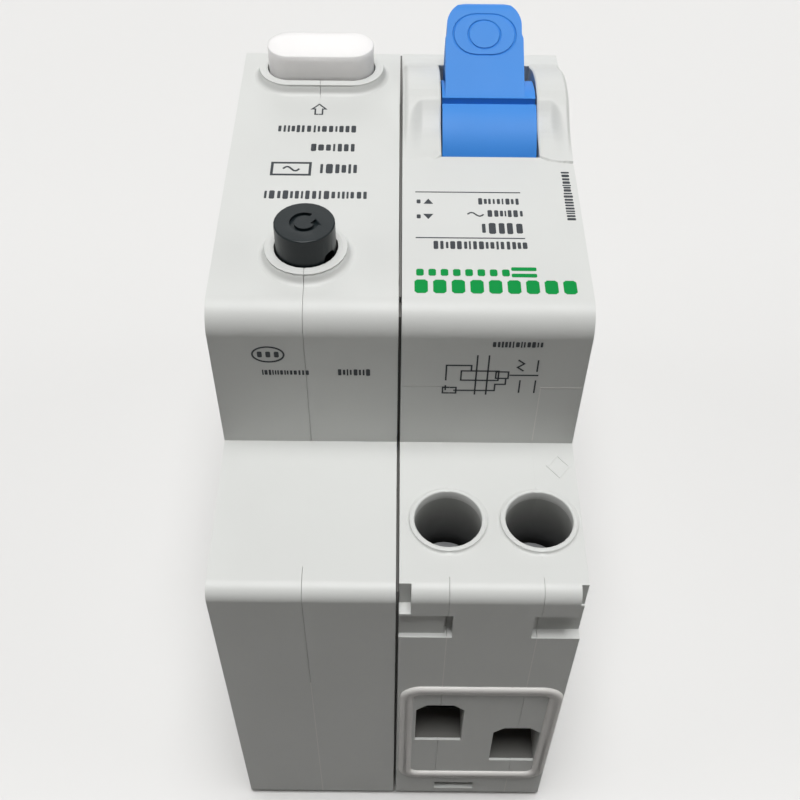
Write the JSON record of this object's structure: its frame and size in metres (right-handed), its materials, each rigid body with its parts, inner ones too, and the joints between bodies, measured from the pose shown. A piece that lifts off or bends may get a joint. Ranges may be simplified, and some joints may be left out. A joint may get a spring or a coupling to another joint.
{
  "type": "residual-current circuit breaker",
  "caption": "Rail-mounted residual-current breaker: a circuit-breaker module with a blue toggle joined to an earth-leakage module with test and reset buttons.",
  "frame": {"origin": "middle of the base's box: x=0 is the joint between the two modules, y=0 the middle of the length, z=0 the underside of the feet", "axes": "+X towards the breaker module's free side, +Y from the line terminals to the load terminals, +Z out of the panel towards the person"},
  "size_m": [0.036, 0.0828, 0.0727],
  "materials": {
    "case_grey": "fine satin moulding texture",
    "toggle_blue": "satin moulded",
    "button_white": "satin moulded",
    "button_black": "smooth moulded",
    "inner_plastic": "moulded",
    "steel": "zinc plated",
    "copper": "bare copper",
    "brass": "bare",
    "ferrite": "sintered",
    "board_green": "solder mask",
    "wire_blue": "insulation",
    "wire_brown": "insulation",
    "component_dark": "moulded"
  },
  "bodies": {
    "casing": {"breaker_left_shell": "case_grey", "breaker_middle_body": "case_grey", "breaker_right_shell": "case_grey", "vigi_left_shell": "case_grey", "vigi_right_shell": "case_grey", "case_rivet_1": "steel", "case_rivet_2": "steel", "case_rivet_3": "steel", "case_rivet_4": "steel", "phase_fixed_contact": "copper", "neutral_fixed_contact": "copper", "phase_load_tongue": "copper", "neutral_load_tongue": "copper", "toggle_axle": "steel", "carrier_axle": "steel", "trip_lever_axle": "steel", "magnet_coil": "copper", "magnet_bobbin": "inner_plastic", "magnet_yoke": "steel", "bimetal_strip": "brass", "calibration_screw": "brass", "arc_splitter_plates": "steel", "arc_cheek_outer": "inner_plastic", "arc_cheek_inner": "inner_plastic", "phase_braid": "copper", "transformer_core": "ferrite", "transformer_winding": "copper", "neutral_wire": "wire_blue", "phase_wire": "wire_brown", "circuit_board": "board_green", "filter_capacitor": "component_dark", "surge_varistor": "wire_blue", "thyristor": "component_dark", "test_resistor": "inner_plastic", "relay_coil": "copper", "relay_frame": "steel", "cross_lever_axle": "steel", "reset_spring": "steel"},
    "toggle": {"toggle": "toggle_blue"},
    "toggle_link": {"toggle_link": "steel"},
    "contacts": {"contact_carrier": "inner_plastic", "phase_contact_arm": "copper", "neutral_contact_arm": "copper"},
    "trip_lever": {"trip_lever": "inner_plastic"},
    "magnet_plunger": {"magnet_plunger": "steel"},
    "relay_plunger": {"relay_plunger": "steel"},
    "cross_trip_lever": {"cross_trip_lever": "inner_plastic"},
    "test_button": {"test_button": "button_white"},
    "test_leaf": {"test_contact_leaf": "brass"},
    "reset_button": {"reset_button": "button_black"},
    "breaker_clip": {"breaker_rail_clip": "inner_plastic"},
    "vigi_clip": {"vigi_rail_clip": "inner_plastic"},
    "line_phase_screw": {"line_phase_screw": "steel"},
    "line_phase_clamp": {"line_phase_clamp": "steel"},
    "line_neutral_screw": {"line_neutral_screw": "steel"},
    "line_neutral_clamp": {"line_neutral_clamp": "steel"},
    "load_phase_screw": {"load_phase_screw": "steel"},
    "load_phase_clamp": {"load_phase_clamp": "steel"},
    "load_neutral_screw": {"load_neutral_screw": "steel"},
    "load_neutral_clamp": {"load_neutral_clamp": "steel"}
  },
  "joints": [
    {"name": "toggle_turn", "type": "hinge", "parent": "casing", "child": "toggle", "pos_m": [0.009, 0.0096, 0.0595], "axis": [1, 0, 0], "range_deg": [0, 65]},
    {"name": "toggle_link_swing", "type": "hinge", "parent": "toggle", "child": "toggle_link", "pos_m": [0.009, 0.0123, 0.05778], "axis": [1, 0, 0], "range_deg": [-65.1, 0]},
    {"name": "contacts_close", "type": "hinge", "parent": "casing", "child": "contacts", "pos_m": [0.0093, 0.002, 0.03], "axis": [1, 0, 0], "range_deg": [0, 19]},
    {"name": "trip_lever_turn", "type": "hinge", "parent": "casing", "child": "trip_lever", "pos_m": [0.005, 0.009, 0.0455], "axis": [-1, 0, 0], "range_deg": [0, 5.6]},
    {"name": "magnet_plunger_strike", "type": "slide", "parent": "casing", "child": "magnet_plunger", "axis": [0, -1, 0], "range_m": [0, 0.002], "stiffness_N_per_m": 60},
    {"name": "relay_plunger_strike", "type": "slide", "parent": "casing", "child": "relay_plunger", "axis": [0, -1, 0], "range_m": [0, 0.0017], "stiffness_N_per_m": 60},
    {"name": "cross_trip_lever_turn", "type": "hinge", "parent": "casing", "child": "cross_trip_lever", "pos_m": [-0.008, 0.009, 0.052], "axis": [-1, 0, 0], "range_deg": [0, 7.5]},
    {"name": "test_button_press", "type": "slide", "parent": "casing", "child": "test_button", "axis": [0, 0, -1], "range_m": [0, 0.0018], "stiffness_N_per_m": 100},
    {"name": "test_leaf_bend", "type": "hinge", "parent": "casing", "child": "test_leaf", "pos_m": [-0.0142, 0.0168, 0.0578], "axis": [0, 1, 0], "range_deg": [0, 10.3]},
    {"name": "reset_button_press", "type": "slide", "parent": "casing", "child": "reset_button", "axis": [0, 0, -1], "range_m": [0, 0.0025], "stiffness_N_per_m": 250, "deforming": ["reset_spring"]},
    {"name": "breaker_clip_slide", "type": "slide", "parent": "casing", "child": "breaker_clip", "axis": [0, 1, 0], "range_m": [0, 0.0035], "stiffness_N_per_m": 1500},
    {"name": "vigi_clip_slide", "type": "slide", "parent": "casing", "child": "vigi_clip", "axis": [0, 1, 0], "range_m": [0, 0.0035], "stiffness_N_per_m": 1500},
    {"name": "line_phase_clamp_lift", "type": "slide", "parent": "casing", "child": "line_phase_clamp", "axis": [0, 0, 1], "range_m": [0, 0.005]},
    {"name": "line_phase_screw_turn", "type": "hinge", "parent": "casing", "child": "line_phase_screw", "pos_m": [0.0049, -0.0325, 0.038], "axis": [0, 0, -1], "range_deg": [0, 2250.1]},
    {"name": "line_neutral_clamp_lift", "type": "slide", "parent": "casing", "child": "line_neutral_clamp", "axis": [0, 0, 1], "range_m": [0, 0.005]},
    {"name": "line_neutral_screw_turn", "type": "hinge", "parent": "casing", "child": "line_neutral_screw", "pos_m": [0.0138, -0.0325, 0.038], "axis": [0, 0, -1], "range_deg": [0, 2250.1]},
    {"name": "load_phase_clamp_lift", "type": "slide", "parent": "casing", "child": "load_phase_clamp", "axis": [0, 0, 1], "range_m": [0, 0.005]},
    {"name": "load_phase_screw_turn", "type": "hinge", "parent": "casing", "child": "load_phase_screw", "pos_m": [-0.0045, 0.0325, 0.038], "axis": [0, 0, -1], "range_deg": [0, 2250.1]},
    {"name": "load_neutral_clamp_lift", "type": "slide", "parent": "casing", "child": "load_neutral_clamp", "axis": [0, 0, 1], "range_m": [0, 0.005]},
    {"name": "load_neutral_screw_turn", "type": "hinge", "parent": "casing", "child": "load_neutral_screw", "pos_m": [-0.0135, 0.0325, 0.038], "axis": [0, 0, -1], "range_deg": [0, 2250.1]}
  ],
  "couplings": [
    {"joint": "toggle_link_swing", "follows": "toggle_turn", "ratio": -1},
    {"joint": "contacts_close", "follows": "toggle_turn", "ratio": 0.29231},
    {"joint": "trip_lever_turn", "follows": "magnet_plunger_strike", "rad_per_m": 48.433},
    {"joint": "cross_trip_lever_turn", "follows": "relay_plunger_strike", "rad_per_m": 76.487},
    {"joint": "test_leaf_bend", "follows": "test_button_press", "rad_per_m": 98.902},
    {"joint": "line_phase_screw_turn", "follows": "line_phase_clamp_lift", "rad_per_m": 7854},
    {"joint": "line_neutral_screw_turn", "follows": "line_neutral_clamp_lift", "rad_per_m": 7854},
    {"joint": "load_phase_screw_turn", "follows": "load_phase_clamp_lift", "rad_per_m": 7854},
    {"joint": "load_neutral_screw_turn", "follows": "load_neutral_clamp_lift", "rad_per_m": 7854}
  ]
}
